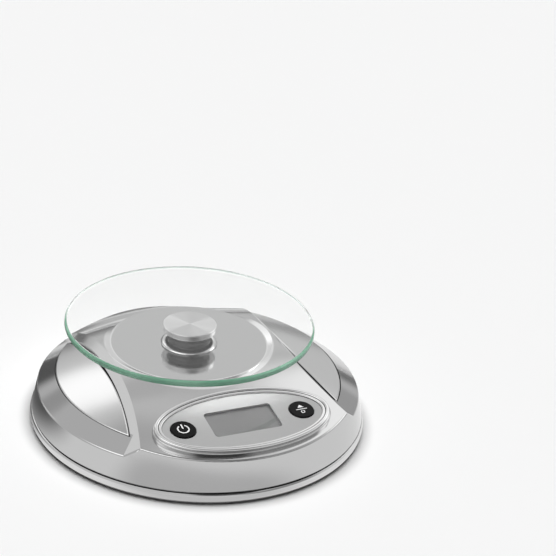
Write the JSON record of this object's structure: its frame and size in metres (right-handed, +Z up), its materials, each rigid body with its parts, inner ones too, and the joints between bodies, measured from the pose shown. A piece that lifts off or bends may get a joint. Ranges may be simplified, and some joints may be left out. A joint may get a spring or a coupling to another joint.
{
  "type": "kitchen scale",
  "caption": "Round electronic kitchen scale: low silver housing with an arched bridge and side covers, oval console with display and keys, glass tray on a post.",
  "frame": {"origin": "on the table, under the middle of the base", "axes": "+Z up, -Y towards the user's side with the console, +X to the user's right"},
  "size_m": [0.192, 0.192, 0.0546],
  "materials": {
    "housing_silver": "silver-lacquered satin gloss",
    "cover_silver": "silver-lacquered gloss",
    "chrome_trim": "polished plating",
    "floor_grey": "fine-textured moulding",
    "foot_rubber": "matt",
    "screw_steel": "zinc-plated",
    "panel_silver": "silver satin film",
    "clear_window": "clear moulding",
    "lcd_grey": "display glass",
    "black_plastic": "moulded",
    "contact_rubber": "elastomer",
    "board_green": "solder mask",
    "socket_white": "moulded",
    "key_black": "glossy moulded",
    "cell_aluminium": "machined",
    "gauge_silicone": "silicone",
    "plate_steel": "zinc-plated",
    "post_steel": "polished",
    "hub_aluminium": "spun-brushed",
    "tray_glass": "clear tempered, green at its edge",
    "cell_wrap": "printed wrap",
    "contact_metal": "nickel-plated",
    "lead_grey": "cable jacket",
    "lead_red": "wire insulation"
  },
  "bodies": {
    "base": {"top_housing": "housing_silver", "left_side_cover": "cover_silver", "right_side_cover": "cover_silver", "base_ring": "chrome_trim", "bottom_cover": "floor_grey", "rubber_feet": "foot_rubber", "housing_screws": "screw_steel", "console_bezel": "chrome_trim", "console_panel": "panel_silver", "display_window": "clear_window", "lcd_module": "lcd_grey", "lcd_frame": "black_plastic", "lcd_contact_strips": "contact_rubber", "main_board": "board_green", "board_screws": "screw_steel", "controller_chip": "black_plastic", "converter_chip": "black_plastic", "crystal": "screw_steel", "cell_socket": "socket_white", "power_socket": "socket_white", "capacitors": "black_plastic", "key_switches": "black_plastic", "load_cell": "cell_aluminium", "cell_spacer": "cell_aluminium", "gauge_covers": "gauge_silicone", "cell_base_screws": "screw_steel", "stop_screw": "screw_steel", "post_ring": "chrome_trim", "battery_holder": "black_plastic", "batteries": "cell_wrap", "contact_plates": "contact_metal", "contact_springs": "contact_metal", "load_cell_lead": "lead_grey", "battery_leads": "lead_red"},
    "platform": {"load_plate": "plate_steel", "plate_screws": "screw_steel", "load_post": "post_steel", "post_screw": "screw_steel"},
    "tray": {"tray_hub": "hub_aluminium", "glass_tray": "tray_glass"},
    "power_button": {"power_key": "key_black", "power_plunger": "socket_white"},
    "tare_button": {"tare_key": "key_black", "tare_plunger": "socket_white"},
    "door": {"battery_door": "floor_grey"}
  },
  "joints": [
    {"name": "platform_travel", "type": "slide", "parent": "base", "child": "platform", "axis": [0, 0, -1], "range_m": [0, 0.0004], "stiffness_N_per_m": 20000, "springref_m": -0.0003, "deforming": ["load_cell"]},
    {"name": "tray_lift", "type": "slide", "parent": "platform", "child": "tray", "axis": [0, 0, 1], "range_m": [0, 0.009]},
    {"name": "power_press", "type": "slide", "parent": "base", "child": "power_button", "axis": [0, 0.1736, -0.9848], "range_m": [0, 0.0006], "stiffness_N_per_m": 400, "springref_m": -0.0008},
    {"name": "tare_press", "type": "slide", "parent": "base", "child": "tare_button", "axis": [0, 0.1736, -0.9848], "range_m": [0, 0.0006], "stiffness_N_per_m": 400, "springref_m": -0.0008},
    {"name": "battery_door_tilt", "type": "hinge", "parent": "base", "child": "door", "pos_m": [0, 0.069, 0.001], "axis": [1, 0, 0], "range_deg": [0, 40]}
  ]
}
